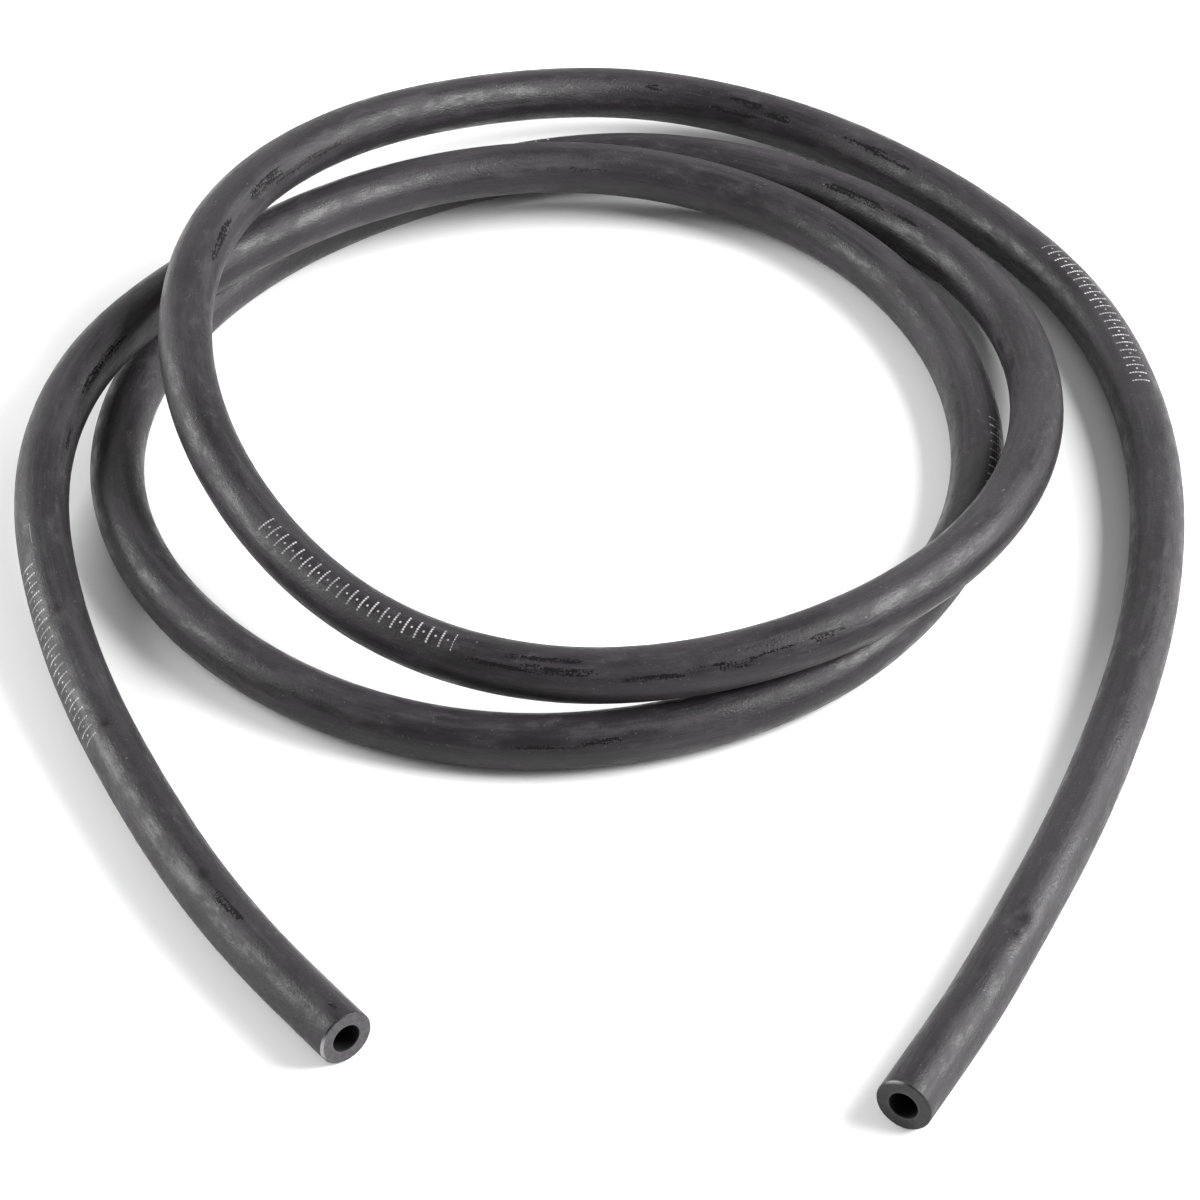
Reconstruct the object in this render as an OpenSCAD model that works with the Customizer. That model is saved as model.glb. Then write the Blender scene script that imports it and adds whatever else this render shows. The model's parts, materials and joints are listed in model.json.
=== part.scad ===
// Plain thick-walled rubber hose with two bare, square-cut ends, lying in a loose coil
// of two and three quarter turns. Millimetres, +Z up; the hose rests on the plane z = 0.

/* [Hose] */
// Outside diameter of the hose
hose_d = 12; // [8:0.5:12]
// Diameter of the bore
bore_d = 6; // [3:0.5:7]
// Length of the straight stretch at each cut end
end_length = 15; // [8:1:15]

/* [Mesh] */
// Rings that the run between the two ends is swept through
rings = 76; // [72:1:80]

/* [Hidden] */

rubber = [0.21, 0.21, 0.22];
round_fn = 96;
sides = 12;
floor_z = hose_d / 2;

// The flat sides of a polygon lie nearer its middle than its corners do. Corners this much
// further out give the run's wall the same cross-section as the round wall of the ends.
fuller = sqrt(2 * PI / sides / sin(360 / sides));

// Guide points of the hose's centre line: x, y, and how far the hose is lifted off the floor.
// The centre line is the uniform cubic B-spline that these points draw, so it is smooth and
// runs a few millimetres inside them on a bend. The first three and the last three points are
// in line and evenly spaced, which makes the first and the last span straight.
route = [
    // Front left end, and out along the left side
    [-50, -155, 0], [-59, -143, 0], [-68, -131, 0], [-82, -109, 0], [-96, -80, 0],
    [-109, -50, 1], [-119, -17, 3], [-125, 19, 7],
    // Back left, riding up on the turn beneath, then down to the floor at the right
    [-116, 58, 12], [-86, 93, 13], [-53, 124, 10], [-9, 141, 7], [38, 135, 1],
    [71, 100, 0], [86, 56, 0], [84, 8, 0],
    // Front of the coil on the floor, and round the left side beneath the first turn
    [62, -32, 0], [30, -58, 0], [-18, -69, 0], [-62, -54, 0], [-95, -20, 0],
    [-111, 25, 0], [-104, 72, 0], [-79, 112, 0], [-41, 140, 0], [4, 155, 0],
    // Right side, then up on the turn beneath at the front of the coil
    [49, 143, 0], [84, 110, 1], [100, 66, 4], [97, 19, 8], [76, -23, 12],
    [40, -52, 13], [-7, -60, 10], [-50, -40, 9],
    // Over both turns at the back left, the highest place, and down round the back
    [-79, -3, 14], [-95, 40, 22], [-91, 87, 27], [-66, 128, 22], [-34, 158, 12],
    [11, 176, 4], [56, 161, 0], [90, 128, 0],
    // Along the right side to the front right end
    [115, 89, 0], [124, 43, 0], [123, 5, 0], [117, -31, 0], [108, -62, 0],
    [98, -91, 0], [86, -119, 0], [75, -144, 0], [67, -159, 0], [59, -174, 0]
];
spans = len(route) - 1;

// Where the run starts and stops, as places on the route. A place counts the spans that lie
// before it, and each cut end takes up its own length of a straight span.
run_start = end_length / norm(route[1] - route[0]);
run_stop = spans - end_length / norm(route[spans] - route[spans - 1]);

// A guide point by its number, with one more reflected beyond each end of the route
function guide(i) =
    i < 0 ? 2 * route[0] - route[1] :
    i > spans ? 2 * route[spans] - route[spans - 1] :
    route[i];

// The number of the span that a place is in
function span_at(place) = min(floor(place), spans - 1);

// A point of the centre line
function centre(place) =
    let (i = span_at(place), u = place - i)
    (pow(1 - u, 3) * guide(i - 1)
    + (3 * pow(u, 3) - 6 * pow(u, 2) + 4) * guide(i)
    + (-3 * pow(u, 3) + 3 * pow(u, 2) + 3 * u + 1) * guide(i + 1)
    + pow(u, 3) * guide(i + 2)) / 6
    + [0, 0, floor_z];

// The unit direction in which the centre line runs
function heading(place) =
    let (
        i = span_at(place),
        u = place - i,
        slope = -pow(1 - u, 2) * guide(i - 1)
            + (3 * pow(u, 2) - 4 * u) * guide(i)
            + (-3 * pow(u, 2) + 2 * u + 1) * guide(i + 1)
            + pow(u, 2) * guide(i + 2)
    )
    slope / norm(slope);

// A ring of corners about the centre line, with a flat side at its top and one at its bottom
function ring(place, radius) =
    let (
        along = heading(place),
        across = cross(along, [0, 0, 1]) / norm(cross(along, [0, 0, 1])),
        upward = cross(across, along)
    )
    [for (k = [0 : sides - 1])
        let (angle = (k + 0.5) * 360 / sides)
        centre(place) + fuller * radius * (cos(angle) * across + sin(angle) * upward)];

// The band of four-sided faces between two rings, whose first corners are numbers a and b
function band(a, b) =
    [for (k = [0 : sides - 1])
        let (next = (k + 1) % sides)
        [a + k, a + next, b + next, b + k]];

// The whole hose between its two ends: outer wall, bore wall, and a flat face at each end
module hose_run() {
    places = [for (j = [0 : rings - 1]) run_start + (run_stop - run_start) * j / (rings - 1)];
    outer = [for (place = places) each ring(place, hose_d / 2)];
    bore = [for (place = places) each ring(place, bore_d / 2)];
    last = (rings - 1) * sides;
    first_bore = rings * sides;
    last_bore = first_bore + last;
    outer_wall = [for (a = [0 : sides : last - sides]) each band(a, a + sides)];
    bore_wall = [for (a = [first_bore : sides : last_bore - sides]) each band(a + sides, a)];
    faces = concat(outer_wall, bore_wall, band(first_bore, 0), band(last, last_bore));
    color(rubber)
        polyhedron(points = concat(outer, bore), faces = faces, convexity = 12);
}

// A straight, round stretch of hose from the middle of its cut face along a level direction
module cut_end(tip, along) {
    bore_spare = 1;
    color(rubber)
        translate(tip)
            rotate([0, 90, atan2(along[1], along[0])])
                difference() {
                    cylinder(d = hose_d, h = end_length, $fn = round_fn);
                    translate([0, 0, -bore_spare])
                        cylinder(d = bore_d, h = end_length + 2 * bore_spare, $fn = round_fn);
                }
}

module front_left_end() {
    cut_end(centre(0), heading(0));
}

module front_right_end() {
    cut_end(centre(spans), -heading(spans));
}

hose_run();
front_left_end();
front_right_end();
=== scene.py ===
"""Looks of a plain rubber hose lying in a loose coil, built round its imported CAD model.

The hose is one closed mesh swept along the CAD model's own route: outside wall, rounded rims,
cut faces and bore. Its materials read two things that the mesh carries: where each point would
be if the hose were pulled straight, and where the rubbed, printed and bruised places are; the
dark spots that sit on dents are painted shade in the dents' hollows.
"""
import json
import math

import bpy
import numpy as np
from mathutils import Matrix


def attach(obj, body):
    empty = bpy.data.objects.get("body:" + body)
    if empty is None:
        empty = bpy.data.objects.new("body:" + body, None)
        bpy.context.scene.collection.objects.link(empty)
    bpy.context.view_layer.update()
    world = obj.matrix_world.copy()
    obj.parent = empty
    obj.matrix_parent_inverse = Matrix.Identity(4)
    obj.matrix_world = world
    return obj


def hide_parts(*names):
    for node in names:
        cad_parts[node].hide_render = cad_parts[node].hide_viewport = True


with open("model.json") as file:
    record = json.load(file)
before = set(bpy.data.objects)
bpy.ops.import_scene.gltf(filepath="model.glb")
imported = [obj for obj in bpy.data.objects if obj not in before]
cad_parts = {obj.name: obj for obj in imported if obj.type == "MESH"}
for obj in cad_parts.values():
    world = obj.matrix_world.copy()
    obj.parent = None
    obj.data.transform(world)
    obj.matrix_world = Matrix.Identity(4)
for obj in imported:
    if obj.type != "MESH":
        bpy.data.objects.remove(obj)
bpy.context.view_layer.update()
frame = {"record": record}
mounts = {mount["name"]: mount for mount in frame["record"]["mounts"]}
scene = bpy.context.scene

# ---------------------------------------------------------------- sizes, in metres

# The hose, as the record's mounts measure it, and the rounding of its rims outside and in the bore.
OUTER_R = mounts["front_left_outside"]["dims"]["r_mm"] / 1000
BORE_R = mounts["front_left_bore"]["dims"]["r_mm"] / 1000
RIM_ROUND = 0.0004
BORE_ROUND = 0.0003

# The mesh: how far apart its rings are outside and in the bore, corners in a ring, rings across
# a cut face, and points of the centre line to a span of the route.
RING_STEP = 0.0015
BORE_STEP = 0.0065
SIDES = 56
FACE_RINGS = 10
SAMPLES_PER_SPAN = 64

# The wall's unevenness: how high its long and its short waves stand, and how long they are.
SWELL_HEIGHT, SWELL_LENGTH = 0.00005, 0.090
RIPPLE_HEIGHT, RIPPLE_LENGTH = 0.00003, 0.018

# The route's guide points, as in the CAD model: x, y, and the lift off the floor.
ROUTE = [
    # front left end, and out along the left side
    (-0.050, -0.155, 0), (-0.059, -0.143, 0), (-0.068, -0.131, 0), (-0.082, -0.109, 0),
    (-0.096, -0.080, 0), (-0.109, -0.050, 0.001), (-0.119, -0.017, 0.003), (-0.125, 0.019, 0.007),
    # back left, riding up on the turn beneath, then down to the floor at the right
    (-0.116, 0.058, 0.012), (-0.086, 0.093, 0.013), (-0.053, 0.124, 0.010), (-0.009, 0.141, 0.007),
    (0.038, 0.135, 0.001), (0.071, 0.100, 0), (0.086, 0.056, 0), (0.084, 0.008, 0),
    # front of the coil on the floor, and round the left side beneath the first turn
    (0.062, -0.032, 0), (0.030, -0.058, 0), (-0.018, -0.069, 0), (-0.062, -0.054, 0),
    (-0.095, -0.020, 0), (-0.111, 0.025, 0), (-0.104, 0.072, 0), (-0.079, 0.112, 0),
    (-0.041, 0.140, 0), (0.004, 0.155, 0),
    # right side, then up on the turn beneath at the front of the coil
    (0.049, 0.143, 0), (0.084, 0.110, 0.001), (0.100, 0.066, 0.004), (0.097, 0.019, 0.008),
    (0.076, -0.023, 0.012), (0.040, -0.052, 0.013), (-0.007, -0.060, 0.010), (-0.050, -0.040, 0.009),
    # over both turns at the back left, the highest place, and down round the back
    (-0.079, -0.003, 0.014), (-0.095, 0.040, 0.022), (-0.091, 0.087, 0.027), (-0.066, 0.128, 0.022),
    (-0.034, 0.158, 0.012), (0.011, 0.176, 0.004), (0.056, 0.161, 0), (0.090, 0.128, 0),
    # along the right side to the front right end
    (0.115, 0.089, 0), (0.124, 0.043, 0), (0.123, 0.005, 0), (0.117, -0.031, 0), (0.108, -0.062, 0),
    (0.098, -0.091, 0), (0.086, -0.119, 0), (0.075, -0.144, 0), (0.067, -0.159, 0), (0.059, -0.174, 0),
]

# Rubbed black patches: distance along the hose from its left end, angle round it (0 is the right
# side going along, 90 the top, 180 the left side), and the patch's length and width.
RUBBED = [
    # left end and the left side of the first turn
    (0.0043, 93, 0.0028, 0.0008), (0.041, 101, 0.013, 0.0012), (0.199, 34, 0.010, 0.0007),
    (0.225, 38, 0.024, 0.0015), (0.373, 32, 0.012, 0.0006),
    # front of the lower turn
    (0.667, 147, 0.011, 0.0008), (0.678, 153, 0.017, 0.0006),
    # back of the second turn
    (1.071, 57, 0.020, 0.0013), (1.086, 63, 0.012, 0.0008),
    # front of the upper turn, where most of them are
    (1.274, 142, 0.009, 0.0010), (1.285, 142, 0.016, 0.0006), (1.294, 151, 0.009, 0.0012),
    (1.300, 142, 0.008, 0.0005), (1.311, 152, 0.014, 0.0010), (1.330, 135, 0.018, 0.0012),
    (1.333, 113, 0.019, 0.0009), (1.343, 139, 0.014, 0.0008),
    # top of the coil, and down its back
    (1.503, 40, 0.018, 0.0014), (1.529, 34, 0.017, 0.0017), (1.549, 20, 0.036, 0.0008),
    (1.652, 52, 0.005, 0.0009), (1.674, 32, 0.014, 0.0009), (1.676, 58, 0.011, 0.0010),
    (1.685, 46, 0.008, 0.0011), (1.714, 56, 0.024, 0.0011),
]

# Small dents: distance along the hose, angle round it, and each dent's radius and depth.
DENTS = [
    (2.009, 102, 0.0022, 0.0009), (2.014, 106, 0.0014, 0.0004),
    (0.142, 96, 0.0016, 0.00018), (0.104, 105, 0.0016, 0.00020),
]

# Soft dark spots: distance along the hose, angle round it, and the spot's radius. Some are real
# bruises; those that sit on the dents above are painted shade in the dents' hollows.
BRUISES_AND_DENT_SHADE = [
    (0.104, 105, 0.0013), (0.142, 96, 0.0013), (0.052, 102, 0.0018), (0.004, 93, 0.0010),
    (2.0095, 104, 0.0019), (2.014, 107, 0.0012), (0.560, 70, 0.0012), (1.230, 75, 0.0012),
]

# A hairline scratch in the shape of an L on the left side: the distance along the hose and the
# angle round it of its corner, how far each arm runs from there, and how wide it is.
SCRATCH_ALONG = 0.1700
SCRATCH_ANGLE = math.radians(119)
SCRATCH_BACK = 0.0060
SCRATCH_ROUND = math.radians(15)
SCRATCH_WIDTH = 0.00018

# The knife's pale lips: the angle of each one's middle round the hose, how far it spreads to
# either side in radians, how strong it is, and how far along the hose it may reach.
LEFT_LIP = (178, 0.48, 1.0)
RIGHT_LIP = (68, 0.32, 0.7)
LIP_REACH = 0.002

# The printed marks: where the first row starts, how far apart the rows repeat, a row's length,
# the angle of its middle at the hose's left end, and how far the hose is twisted for each metre.
# The margin and the reach are how far outside a row its own coordinates are still kept.
PRINT_START = 0.103
PRINT_REPEAT = 0.4165
PRINT_LENGTH = 0.056
PRINT_ANGLE = math.radians(151)
PRINT_TWIST = math.radians(29)
PRINT_MARGIN = 0.004
PRINT_REACH = 0.006


# ---------------------------------------------------------------- the hose's centre line

def spline(route, per_span):
    """Points of the uniform cubic B-spline that the guide points draw, first to last."""
    guide = np.array(route, float)
    guide = np.vstack([2 * guide[0] - guide[1], guide, 2 * guide[-1] - guide[-2]])
    u = np.arange(per_span)[:, None] / per_span
    spans = [
        ((1 - u) ** 3 * a + (3 * u ** 3 - 6 * u ** 2 + 4) * b
         + (-3 * u ** 3 + 3 * u ** 2 + 3 * u + 1) * c + u ** 3 * d) / 6
        for a, b, c, d in zip(guide, guide[1:], guide[2:], guide[3:])
    ]
    return np.vstack(spans + [guide[-2:-1]])


def at_distance(points, along, wanted):
    """The points at the wanted distances along a line."""
    return np.stack([np.interp(wanted, along, points[:, k]) for k in range(3)], axis=1)


LINE = spline(ROUTE, SAMPLES_PER_SPAN) + [0, 0, OUTER_R]
ALONG = np.concatenate([[0], np.cumsum(np.linalg.norm(np.diff(LINE, axis=0), axis=1))])
LENGTH = float(ALONG[-1])


# ---------------------------------------------------------------- camera

def make_camera():
    """A long lens that looks along +Y and down at the middle of the coil."""
    pitch = math.radians(39)
    distance = 1.2242
    aim_y = -0.0102
    data = bpy.data.cameras.new("camera")
    data.lens = 168.6
    data.sensor_width = 36
    data.clip_start = 0.05
    data.clip_end = 20
    camera = bpy.data.objects.new("camera", data)
    camera.location = (0, aim_y - distance * math.cos(pitch), distance * math.sin(pitch))
    camera.rotation_euler = (math.pi / 2 - pitch, 0, 0)
    scene.collection.objects.link(camera)
    scene.camera = camera


make_camera()


# ---------------------------------------------------------------- the hose's mesh

def smooth_noise(along, angle, seed, length, bumps):
    """A gentle wave over the hose's surface, from -1 to 1, the same on every run."""
    rng = np.random.default_rng(seed)
    total = np.zeros(np.broadcast(along, angle).shape)
    for _ in range(bumps):
        turns = rng.integers(0, 4)
        wave = rng.uniform(0.5, 1.6) * 2 * math.pi / length
        phase = rng.uniform(0, 2 * math.pi, 2)
        total += np.cos(along * wave + phase[0]) * np.cos(angle * turns + phase[1])
    return total / bumps


def arc_from(angle, middle):
    """The signed angle from a middle angle, wrapped to half a turn either way."""
    return (angle - middle + math.pi) % (2 * math.pi) - math.pi


def chain_of_rings():
    """Every ring of the closed mesh in order, as (distance along, radius, part of the hose).

    The chain runs out along the outside, in over the right cut face, back through the bore
    and out over the left cut face, so that its last ring joins its first.
    """
    rim = RIM_ROUND
    count = round((LENGTH - 2 * rim) / RING_STEP)
    outside = [(rim + (LENGTH - 2 * rim) * k / count, OUTER_R, "outside") for k in range(count + 1)]
    quarter = [math.radians(a) for a in (22.5, 45, 67.5)]
    face = [(rim * (1 - math.sin(a)), OUTER_R - rim * (1 - math.cos(a)), "outside") for a in quarter]
    outer_edge = OUTER_R - rim
    inner_edge = BORE_R + BORE_ROUND
    face += [
        (0, outer_edge + (inner_edge - outer_edge) * k / (FACE_RINGS - 1), "face")
        for k in range(FACE_RINGS)
    ]
    face += [
        (BORE_ROUND * (1 - math.cos(a)), inner_edge - BORE_ROUND * math.sin(a), "bore")
        for a in quarter
    ]
    right_face = [(LENGTH - s, r, part) for s, r, part in face]
    count = round((LENGTH - 2 * BORE_ROUND) / BORE_STEP)
    bore = [
        (BORE_ROUND + (LENGTH - 2 * BORE_ROUND) * k / count, BORE_R, "bore")
        for k in range(count, -1, -1)
    ]
    return outside + right_face + bore + face[::-1]


def surface_arrays(rings):
    """Place, angle and radius of every vertex, with the hose's small unevenness added."""
    along = np.array([s for s, _, _ in rings])[:, None]
    radius = np.array([r for _, r, _ in rings])[:, None]
    angle = (np.arange(SIDES) * 2 * math.pi / SIDES)[None, :]
    along = np.repeat(along, SIDES, axis=1)
    radius = np.repeat(radius, SIDES, axis=1)
    angle = np.repeat(angle, len(rings), axis=0)

    # the wall is never quite even: long swells, and shorter ones that are shallower still
    depth_in = np.clip((radius - BORE_R) / (OUTER_R - BORE_R), 0, 1)
    uneven = SWELL_HEIGHT * smooth_noise(along, angle, seed=3, length=SWELL_LENGTH, bumps=9)
    uneven += RIPPLE_HEIGHT * smooth_noise(along, angle, seed=7, length=RIPPLE_LENGTH, bumps=12)
    radius = radius + depth_in * uneven
    for s, degrees, size, depth in DENTS:
        across = arc_from(angle, math.radians(degrees)) * OUTER_R
        dent = np.exp(-((along - s) ** 2 + across ** 2) / size ** 2)
        radius = radius - depth * dent * (depth_in > 0.99)
    return along, angle, radius


def hose_points(along, angle, radius):
    """The vertices' places in the row frame."""
    centre = at_distance(LINE, ALONG, along[:, 0])
    slope = np.gradient(LINE, ALONG, axis=0)
    heading = at_distance(slope, ALONG, along[:, 0])
    heading /= np.linalg.norm(heading, axis=1)[:, None]
    right = np.cross(heading, [0, 0, 1])
    right /= np.linalg.norm(right, axis=1)[:, None]
    upward = np.cross(right, heading)
    out = np.cos(angle)[:, :, None] * right[:, None] + np.sin(angle)[:, :, None] * upward[:, None]
    return centre[:, None] + radius[:, :, None] * out


def rubbed_places(along, angle):
    """How much each vertex lies in a rubbed patch, from 0 to 1."""
    fullness = 1.7
    total = np.zeros(along.shape)
    for s, degrees, length, width in RUBBED:
        across = arc_from(angle, math.radians(degrees)) * OUTER_R
        window = np.exp(-((2 * (along - s) / length) ** 4) - ((across / width) ** 2))
        total = np.maximum(total, np.minimum(1, fullness * window))
    return total


def bruise_and_dent_shade_places(along, angle):
    """How much each vertex lies in a soft dark spot, from 0 to 1; the spots on dents are painted shade
    in their hollows.
    """
    total = np.zeros(along.shape)
    for s, degrees, size in BRUISES_AND_DENT_SHADE:
        across = arc_from(angle, math.radians(degrees)) * OUTER_R
        total = np.maximum(total, np.exp(-((along - s) ** 2 + across ** 2) / size ** 2))
    return total


def print_places(along, angle):
    """Distance along a printed row, distance from its middle line, and 1 at or near the row."""
    row = np.round((along - PRINT_START - PRINT_LENGTH / 2) / PRINT_REPEAT)
    into_row = along - PRINT_START - row * PRINT_REPEAT
    middle = PRINT_ANGLE - PRINT_TWIST * along
    across = arc_from(angle, middle) * OUTER_R
    near = (into_row > -PRINT_MARGIN) & (into_row < PRINT_LENGTH + PRINT_MARGIN)
    near &= np.abs(across) < PRINT_REACH
    return np.stack([into_row, across, near.astype(float)], axis=-1)


def cut_lips(along, angle):
    """The pale raised lip that the knife left on part of each rim, from 0 to 1."""
    total = np.zeros(along.shape)
    ends = ((LEFT_LIP, along < LIP_REACH), (RIGHT_LIP, along > LENGTH - LIP_REACH))
    for (degrees, spread, strength), at_end in ends:
        total += strength * np.exp(-(arc_from(angle, math.radians(degrees)) / spread) ** 4) * at_end
    return total


def write_places(mesh, along, angle, radius):
    """Gives every vertex the places and the amounts that the materials read."""
    straight = np.stack([radius * np.cos(angle), radius * np.sin(angle), along], axis=-1)
    for name, values in (("straight", straight), ("print_place", print_places(along, angle))):
        layer = mesh.attributes.new(name, "FLOAT_VECTOR", "POINT")
        layer.data.foreach_set("vector", values.reshape(-1).astype(np.float32))
    amounts = (
        ("rubbed", rubbed_places(along, angle)),
        ("bruise_and_dent_shade", bruise_and_dent_shade_places(along, angle)),
        ("lip", cut_lips(along, angle)),
    )
    for name, values in amounts:
        layer = mesh.attributes.new(name, "FLOAT", "POINT")
        layer.data.foreach_set("value", values.reshape(-1).astype(np.float32))


def hose_mesh():
    """The whole hose as one closed mesh: its rings, joined one to the next and last to first."""
    rings = chain_of_rings()
    along, angle, radius = surface_arrays(rings)
    points = hose_points(along, angle, radius)
    count = len(rings)
    first = np.arange(count)[:, None] * SIDES
    after = np.roll(first, -1, axis=0)
    side = np.arange(SIDES)[None, :]
    next_side = (side + 1) % SIDES
    quads = np.stack([first + side, after + side, after + next_side, first + next_side], axis=-1)
    mesh = bpy.data.meshes.new("rubber_hose")
    mesh.from_pydata(points.reshape(-1, 3).tolist(), [], quads.reshape(-1, 4).tolist())
    mesh.polygons.foreach_set("use_smooth", np.ones(count * SIDES, bool))

    # a quad between two different parts of the hose is shown as cut face
    slots = {"outside": 0, "face": 1, "bore": 2}
    parts = [slots[part] for _, _, part in rings]
    shown = [parts[k] if parts[k] == parts[(k + 1) % count] else 1 for k in range(count)]
    mesh.polygons.foreach_set("material_index", np.repeat(shown, SIDES).astype(np.int32))

    write_places(mesh, along, angle, radius)
    mesh.validate()
    mesh.update()
    return mesh


def make_hose():
    """The hose's object, which stands for the CAD model's three stretches as one free hose."""
    hose = bpy.data.objects.new("rubber_hose", hose_mesh())
    scene.collection.objects.link(hose)
    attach(hose, "root")
    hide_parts("hose_run", "front_left_end", "front_right_end")
    return hose


# ---------------------------------------------------------------- materials

class Nodes:
    """A short way to write a material's nodes."""

    def __init__(self, name):
        self.material = bpy.data.materials.new(name)
        self.material.use_nodes = True
        self.tree = self.material.node_tree
        self.shader = self.tree.nodes["Principled BSDF"]

    def put(self, socket, value):
        if isinstance(value, bpy.types.NodeSocket):
            self.tree.links.new(value, socket)
        else:
            socket.default_value = value

    def attribute(self, name):
        node = self.tree.nodes.new("ShaderNodeAttribute")
        node.attribute_name = name
        return node

    def vector(self, operation, a, b):
        node = self.tree.nodes.new("ShaderNodeVectorMath")
        node.operation = operation
        self.put(node.inputs[0], a)
        self.put(node.inputs[1], b)
        return node.outputs["Vector"]

    def xyz(self, value):
        node = self.tree.nodes.new("ShaderNodeSeparateXYZ")
        self.put(node.inputs[0], value)
        return node.outputs[0], node.outputs[1], node.outputs[2]

    def math(self, operation, a, b=0.0):
        node = self.tree.nodes.new("ShaderNodeMath")
        node.operation = operation
        for socket, value in zip(node.inputs, (a, b)):
            self.put(socket, value)
        return node.outputs[0]

    def noise(self, place, scale, detail=3.0, rough=0.5):
        node = self.tree.nodes.new("ShaderNodeTexNoise")
        self.put(node.inputs["Vector"], place)
        self.put(node.inputs["Scale"], scale)
        self.put(node.inputs["Detail"], detail)
        self.put(node.inputs["Roughness"], rough)
        return node.outputs["Fac"]

    def specks(self, place, scale):
        """Distance to the nearest of scattered points, and a random number for that point."""
        node = self.tree.nodes.new("ShaderNodeTexVoronoi")
        self.put(node.inputs["Vector"], place)
        self.put(node.inputs["Scale"], scale)
        return node.outputs["Distance"], node.outputs["Color"]

    def between(self, value, low, high, to_low=0.0, to_high=1.0):
        """The value's place between low and high, eased, as a number from to_low to to_high."""
        node = self.tree.nodes.new("ShaderNodeMapRange")
        node.interpolation_type = "SMOOTHSTEP"
        for socket, number in zip(node.inputs, (value, low, high, to_low, to_high)):
            self.put(socket, number)
        return node.outputs[0]

    def mix(self, factor, a, b):
        node = self.tree.nodes.new("ShaderNodeMix")
        node.data_type = "RGBA"
        colours = [socket for socket in node.inputs if socket.type == "RGBA"]
        self.put(node.inputs[0], factor)
        self.put(colours[0], a)
        self.put(colours[1], b)
        return next(socket for socket in node.outputs if socket.type == "RGBA")

    def bump(self, height, distance, strength, normal=None):
        node = self.tree.nodes.new("ShaderNodeBump")
        self.put(node.inputs["Height"], height)
        self.put(node.inputs["Distance"], distance)
        self.put(node.inputs["Strength"], strength)
        if normal is not None:
            self.put(node.inputs["Normal"], normal)
        return node.outputs[0]

    def set(self, **inputs):
        for name, value in inputs.items():
            self.put(self.shader.inputs[name.replace("_", " ")], value)


def grey(level, tint=0.12):
    """A grey with a trace of purple, which is the colour of the rubber."""
    return (level * (1 + tint), level, level * (1 + 0.9 * tint), 1)


def stretched(n, place, times):
    """A place on the straight hose with its length shrunk, so that patterns run lengthwise."""
    return n.vector("MULTIPLY", place, (1, 1, 1 / times))


def printed_marks(n):
    """Plain dots of pale ink: tall columns of dots with one dot between each two."""
    place = n.attribute("print_place").outputs["Vector"]
    into_row, across, inside = n.xyz(place)
    column_gap = 0.0029
    dot_gap = 0.00062
    dot_r = 0.00026

    def offset_from_nearest(value, gap, shift):
        turns = n.math("ADD", n.math("DIVIDE", value, gap), shift)
        return n.math("MULTIPLY", n.math("SUBTRACT", n.math("FRACT", turns), 0.5), gap)

    def dots(shift, half_height):
        x = offset_from_nearest(into_row, column_gap, shift)
        y = offset_from_nearest(across, dot_gap, 0.5)
        squares = n.math("ADD", n.math("MULTIPLY", x, x), n.math("MULTIPLY", y, y))
        dot = n.between(n.math("SQRT", squares), dot_r * 0.75, dot_r * 1.2, 1, 0)
        return n.math("MULTIPLY", dot, n.math("LESS_THAN", n.math("ABSOLUTE", across), half_height))

    tall = dots(0.5, dot_gap * 3.5)
    single = dots(0.0, dot_gap * 0.5)
    in_length = n.math(
        "MULTIPLY", n.math("GREATER_THAN", into_row, 0), n.math("LESS_THAN", into_row, PRINT_LENGTH)
    )
    marks = n.math("MULTIPLY", n.math("MAXIMUM", tall, single), in_length)
    return n.math("MULTIPLY", marks, n.math("GREATER_THAN", inside, 0.999))


def hairline_scratch(n, place):
    """Two thin straight arms that meet in a corner: one runs lengthwise and one goes round."""
    x, y, along = n.xyz(place)
    angle = n.math("SUBTRACT", n.math("ARCTAN2", y, x), SCRATCH_ANGLE)
    back = n.math("SUBTRACT", SCRATCH_ALONG, along)

    def line(off, half_width):
        return n.between(n.math("ABSOLUTE", off), half_width * 0.5, half_width * 1.5, 1, 0)

    def inside(value, end, spare):
        past_start = n.math("GREATER_THAN", value, -spare)
        return n.math("MULTIPLY", past_start, n.math("LESS_THAN", value, end))

    half = SCRATCH_WIDTH / 2
    lengthwise = n.math("MULTIPLY", line(angle, half / OUTER_R), inside(back, SCRATCH_BACK, half))
    going_round = n.math("MULTIPLY", line(back, half), inside(angle, SCRATCH_ROUND, half / OUTER_R))
    return n.math("MAXIMUM", lengthwise, going_round)


def rubbed_flecks(n, place):
    """Where a rubbed patch is black: rows of flecks that follow the hose, cut into ragged teeth."""
    rubbed = n.attribute("rubbed").outputs["Fac"]
    rows = n.noise(stretched(n, place, 9), scale=1300, detail=3, rough=0.6)
    teeth = n.noise(stretched(n, place, 0.8), scale=1700, detail=3, rough=0.7)
    torn = n.math("ADD", n.math("MULTIPLY", rows, 4.0), n.math("MULTIPLY", teeth, 4.0))
    torn = n.math("ADD", torn, n.math("MULTIPLY", rubbed, 3.0))
    return n.between(torn, 6.55, 6.85)


def knife_lip(n, place, scuffs):
    """Where the rim is a lip of stretched rubber that the knife left, with a ragged edge."""
    _, _, along = n.xyz(place)
    ragged_edge = n.math("ADD", along, n.math("MULTIPLY", scuffs, 0.0006))
    at_left = n.between(ragged_edge, 0.0006, 0.0008, 1, 0)
    at_right = n.between(along, LENGTH - 0.0005, LENGTH - 0.0002)
    return n.math("MULTIPLY", n.attribute("lip").outputs["Fac"], n.math("MAXIMUM", at_left, at_right))


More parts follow.
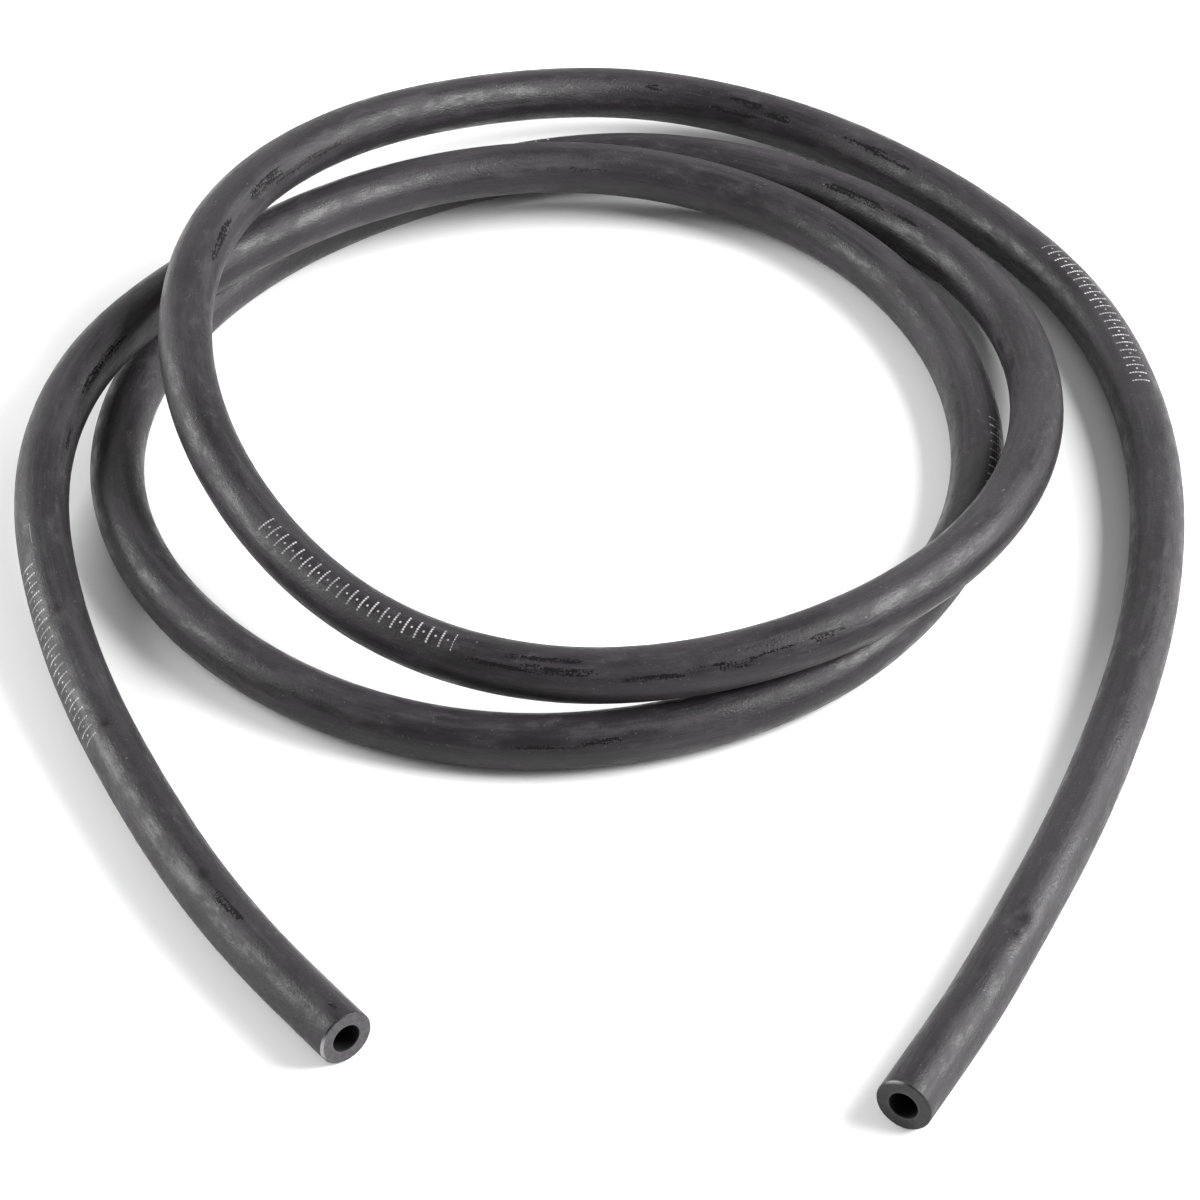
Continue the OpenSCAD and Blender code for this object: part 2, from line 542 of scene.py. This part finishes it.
def plain_rubber_colour(n, place, streaks, scuffs, lines):
    """Very dark grey, clouded, streaked, scuffed and finely lined."""
    clouds = n.noise(stretched(n, place, 2.5), scale=70, detail=3, rough=0.55)
    colour = n.mix(n.between(clouds, 0.38, 0.64), grey(0.0115), grey(0.019))
    colour = n.mix(n.between(streaks, 0.48, 0.74, 0, 0.6), colour, grey(0.033))
    colour = n.mix(n.between(scuffs, 0.52, 0.72, 0, 0.6), colour, grey(0.039))
    return n.mix(n.between(lines, 0.52, 0.72, 0, 0.45), colour, grey(0.008))


def with_dust(n, place, colour):
    """The colour with pale dust on it: a few large specks, and many fine ones."""
    for scale, share, size, strength in ((260, 0.72, 0.075, 0.5), (750, 0.58, 0.14, 0.36)):
        distance, chance = n.specks(place, scale)
        few = n.math("GREATER_THAN", n.xyz(chance)[0], share)
        speck = n.math("MULTIPLY", n.between(distance, size * 0.5, size, 1, 0), few)
        colour = n.mix(n.math("MULTIPLY", speck, strength), colour, grey(0.17, 0.01))
    return colour


def satin_roughness(n, streaks, scuffs, ink, still_rough):
    """Satin, duller where scuffed and on the ink, and smoothest in rubbed places and in the dark
    spots, which are bruises and painted dent shade.
    """
    smoothest = 0.2
    roughness = n.between(scuffs, 0.38, 0.62, 0.34, 0.58)
    roughness = n.math("ADD", roughness, n.between(streaks, 0.35, 0.70, -0.04, 0.06))
    roughness = n.math("ADD", roughness, n.math("MULTIPLY", ink, 0.2))
    roughness = n.math("MULTIPLY", n.math("SUBTRACT", roughness, smoothest), still_rough)
    return n.math("ADD", roughness, smoothest)


def hose_rubber():
    """The outside: satin black rubber with streaks, scuffs, dust, rubbed places and print."""
    n = Nodes("hose_rubber")
    place = n.attribute("straight").outputs["Vector"]
    streaks = n.noise(stretched(n, place, 16), scale=620, detail=4, rough=0.6)
    scuffs = n.noise(stretched(n, place, 2.5), scale=330, detail=5, rough=0.68)
    grain = n.noise(stretched(n, place, 1.6), scale=1900, detail=4, rough=0.65)
    lines = n.noise(stretched(n, place, 60), scale=1500, detail=3, rough=0.55)

    # what lies on the rubber, and the painted shade in the dents' hollows; the print is thin and a
    # little worn
    black = rubbed_flecks(n, place)
    bruise_and_dent_shade = n.attribute("bruise_and_dent_shade").outputs["Fac"]
    scratch = hairline_scratch(n, place)
    ink = n.math("MULTIPLY", printed_marks(n), n.between(scuffs, 0.40, 0.58, 1.0, 0.45))
    lip = knife_lip(n, place, scuffs)

    # colour, from the rubber itself outwards
    colour = plain_rubber_colour(n, place, streaks, scuffs, lines)
    colour = n.mix(n.math("MULTIPLY", black, 0.92), colour, grey(0.004))
    # the dark spots darken the colour: real bruises, and painted shade in the hollows of the dents
    colour = n.mix(n.math("MULTIPLY", bruise_and_dent_shade, 0.8), colour, grey(0.005))
    colour = with_dust(n, place, colour)
    colour = n.mix(n.math("MULTIPLY", scratch, 0.8), colour, grey(0.15, 0.01))
    colour = n.mix(n.math("MULTIPLY", ink, 0.85), colour, grey(0.46, 0.01))
    colour = n.mix(n.math("MULTIPLY", lip, 0.8), colour, grey(0.40, 0.01))

    # rubbed places and the dark spots (bruises, and painted shade in dents) are smooth as well as
    # black
    smooth = n.math("MAXIMUM", black, n.math("MULTIPLY", bruise_and_dent_shade, 0.7))
    still_rough = n.math("SUBTRACT", 1.0, smooth)
    roughness = satin_roughness(n, streaks, scuffs, ink, still_rough)

    # relief: scuffs, grain and lengthwise lines, with the ink lying on top
    dull = n.math("MULTIPLY", n.math("SUBTRACT", scuffs, 0.5), still_rough)
    fine = n.math("MULTIPLY", n.math("SUBTRACT", grain, 0.5), still_rough)
    normal = n.bump(dull, 0.00012, 0.8)
    normal = n.bump(fine, 0.000115, 0.9, normal)
    normal = n.bump(lines, 0.00004, 0.8, normal)
    normal = n.bump(ink, 0.00003, 0.6, normal)
    n.set(Base_Color=colour, Roughness=roughness, Normal=normal, IOR=1.45)
    n.set(Specular_IOR_Level=0.35, Sheen_Weight=0.04, Sheen_Roughness=0.4)
    return n.material


def cut_rubber():
    """The cut faces: matt rubber with fine knife lines and a paler ring round the bore, the left face
    painted paler as if lit and the right one darker as if in shade.
    """
    n = Nodes("cut_rubber")
    place = n.attribute("straight").outputs["Vector"]
    x, y, along = n.xyz(place)
    out = n.math("SQRT", n.math("ADD", n.math("MULTIPLY", x, x), n.math("MULTIPLY", y, y)))
    slant = n.math("ADD", n.math("MULTIPLY", x, 0.8), n.math("MULTIPLY", y, 0.6))
    wobble = n.math("MULTIPLY", n.noise(place, scale=500, detail=2, rough=0.5), 14)
    knife = n.math("SINE", n.math("ADD", n.math("MULTIPLY", slant, 9000), wobble))
    grain = n.noise(place, scale=3200, detail=3, rough=0.6)
    mottle = n.noise(place, scale=700, detail=3, rough=0.5)

    # painted light and shade: the left face is painted paler than the right one, as if lit, and the
    # right one darker, as if in shade
    on_left_face_painted_lit = n.math("LESS_THAN", along, LENGTH / 2)
    right_face_painted_shade = n.mix(n.between(mottle, 0.35, 0.65), grey(0.008), grey(0.016))
    left_face_painted_light = n.mix(n.between(mottle, 0.35, 0.65), grey(0.032), grey(0.052))
    colour = n.mix(on_left_face_painted_lit, right_face_painted_shade, left_face_painted_light)
    ring = n.between(out, BORE_R + 0.0002, BORE_R + 0.0008, 1, 0)
    colour = n.mix(n.math("MULTIPLY", ring, 0.35), colour, grey(0.060))
    distance, chance = n.specks(place, 900)
    few = n.math("GREATER_THAN", n.xyz(chance)[0], 0.86)
    speck = n.math("MULTIPLY", n.between(distance, 0.05, 0.12, 1, 0), few)
    colour = n.mix(n.math("MULTIPLY", speck, 0.4), colour, grey(0.16, 0.01))
    lip = n.attribute("lip").outputs["Fac"]
    edge = n.between(out, OUTER_R - 0.0007, OUTER_R - 0.0003)
    colour = n.mix(n.math("MULTIPLY", n.math("MULTIPLY", lip, edge), 0.6), colour, grey(0.36, 0.01))
    normal = n.bump(knife, 0.00003, 0.5)
    normal = n.bump(grain, 0.00004, 0.6, normal)
    n.set(Base_Color=colour, Roughness=n.between(grain, 0.3, 0.7, 0.52, 0.68), Normal=normal, IOR=1.5)
    return n.material


def bore_rubber():
    """The bore's wall: nearly black, with faint lengthwise streaks."""
    n = Nodes("bore_rubber")
    place = n.attribute("straight").outputs["Vector"]
    streaks = n.noise(stretched(n, place, 12), scale=900, detail=3, rough=0.5)
    grain = n.noise(place, scale=2400, detail=2, rough=0.5)
    colour = n.mix(n.between(streaks, 0.35, 0.7), grey(0.003), grey(0.006))
    normal = n.bump(grain, 0.00003, 0.5)
    roughness = n.between(grain, 0.3, 0.7, 0.6, 0.72)
    n.set(Base_Color=colour, Roughness=roughness, Normal=normal, IOR=1.45, Specular_IOR_Level=0.2)
    return n.material


hose = make_hose()
for material in (hose_rubber(), cut_rubber(), bore_rubber()):
    hose.data.materials.append(material)


# ---------------------------------------------------------------- floor and lights

def make_floor():
    """A plain pale floor, wide enough that its edge is never seen."""
    half = 4.0
    mesh = bpy.data.meshes.new("floor")
    corners = [(-half, -half, 0), (half, -half, 0), (half, half, 0), (-half, half, 0)]
    mesh.from_pydata(corners, [], [(0, 1, 2, 3)])
    floor = bpy.data.objects.new("floor", mesh)
    scene.collection.objects.link(floor)
    n = Nodes("pale_floor")
    n.set(Base_Color=(0.86, 0.86, 0.86, 1), Roughness=0.9, Specular_IOR_Level=0.1)
    mesh.materials.append(n.material)


def make_softbox(name, azimuth, elevation, distance, width, height, power):
    """A soft rectangular light aimed at the coil. Azimuth 0 is towards +Y and 90 towards +X."""
    data = bpy.data.lights.new(name, "AREA")
    data.shape = "RECTANGLE"
    data.size = width
    data.size_y = height
    data.energy = power
    light = bpy.data.objects.new(name, data)
    a, e = math.radians(azimuth), math.radians(elevation)
    light.location = (
        distance * math.sin(a) * math.cos(e),
        distance * math.cos(a) * math.cos(e),
        distance * math.sin(e),
    )
    light.rotation_euler = (math.pi / 2 - e, 0, math.pi - a)
    scene.collection.objects.link(light)


def make_world(level):
    world = bpy.data.worlds.new("studio")
    world.use_nodes = True
    world.node_tree.nodes["Background"].inputs["Color"].default_value = (1, 1, 1, 1)
    world.node_tree.nodes["Background"].inputs["Strength"].default_value = level
    scene.world = world


make_floor()
make_softbox(
    "right_softbox", azimuth=90, elevation=34, distance=1.5, width=1.1, height=1.0, power=60,
)
make_softbox(
    "left_softbox", azimuth=-76, elevation=24, distance=1.5, width=1.0, height=0.9, power=29,
)
make_softbox(
    "back_softbox", azimuth=-3, elevation=26, distance=1.7, width=1.6, height=0.6, power=3,
)
make_world(0.40)
scene.view_settings.view_transform = "Standard"
